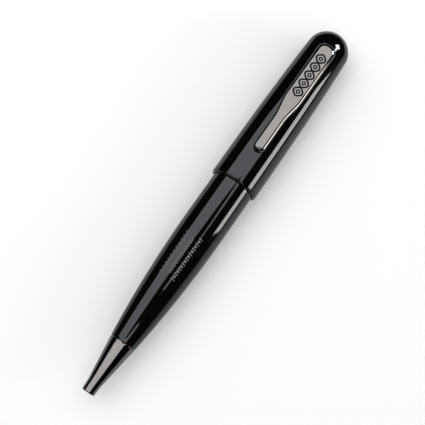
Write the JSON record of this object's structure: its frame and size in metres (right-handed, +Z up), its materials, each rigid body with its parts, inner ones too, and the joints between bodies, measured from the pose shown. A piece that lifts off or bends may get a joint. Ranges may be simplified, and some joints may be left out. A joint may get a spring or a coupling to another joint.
{
  "type": "twist-action ballpoint pen",
  "caption": "Cigar-shaped twist-action ballpoint pen with a tapered nose cone, a lined barrel, a domed turning cap and a sprung pocket clip.",
  "frame": {"origin": "on the surface that the pen lies on, under the middle of its length", "axes": "+X along the pen from the nose to the crown, +Z up through the clip, +Y across"},
  "size_m": [0.1366, 0.0158, 0.0175],
  "materials": {
    "black_resin": "polished black resin",
    "gunmetal_plate": "bright black-nickel plate",
    "turned_brass": "turned",
    "bright_steel": "bright drawn",
    "white_nylon": "moulded",
    "black_rubber": "moulded",
    "point_brass": "fine turned"
  },
  "bodies": {
    "barrel": {"lower_barrel": "black_resin", "nose_cone": "gunmetal_plate", "front_bush": "turned_brass", "lower_liner": "turned_brass", "guide_tube": "turned_brass", "coupling_ring": "turned_brass", "friction_ring": "black_rubber", "thrust_washer": "white_nylon", "retaining_ring": "bright_steel", "return_spring": "bright_steel"},
    "cap": {"cap": "black_resin", "cap_mouth_ring": "black_resin", "upper_liner": "turned_brass", "cam_holder": "white_nylon", "cam_sleeve": "turned_brass", "clip_anchor": "turned_brass", "clip_screw": "bright_steel"},
    "clip": {"clip": "gunmetal_plate"},
    "plunger": {"plunger": "white_nylon", "cross_pin": "bright_steel"},
    "refill": {"refill_tube": "bright_steel", "refill_end_plug": "white_nylon", "refill_reducer": "white_nylon", "refill_point": "point_brass"},
    "writing_ball": {"refill_ball": "bright_steel"}
  },
  "joints": [
    {"name": "cap_twist", "type": "hinge", "parent": "barrel", "child": "cap", "pos_m": [0, 0, 0.00786], "axis": [-1, 0, 0], "range_deg": [0, 180]},
    {"name": "clip_flex", "type": "hinge", "parent": "cap", "child": "clip", "pos_m": [0.0596, 0, 0.01455], "axis": [0, 1, 0], "range_deg": [0, 6], "stiffness_Nm_per_rad": 4},
    {"name": "plunger_slide", "type": "slide", "parent": "barrel", "child": "plunger", "axis": [-1, 0, 0], "range_m": [0, 0.005]},
    {"name": "refill_slide", "type": "slide", "parent": "barrel", "child": "refill", "axis": [-1, 0, 0], "range_m": [0, 0.005], "stiffness_N_per_m": 300, "springref_m": -0.003, "deforming": ["return_spring"]},
    {"name": "ball_roll", "type": "hinge", "parent": "refill", "child": "writing_ball", "pos_m": [-0.0663, 0, 0.00786], "axis": [0, 1, 0], "continuous": true}
  ],
  "couplings": [
    {"joint": "cap_twist", "follows": "refill_slide", "rad_per_m": 628.32},
    {"joint": "plunger_slide", "follows": "refill_slide", "ratio": 1}
  ]
}
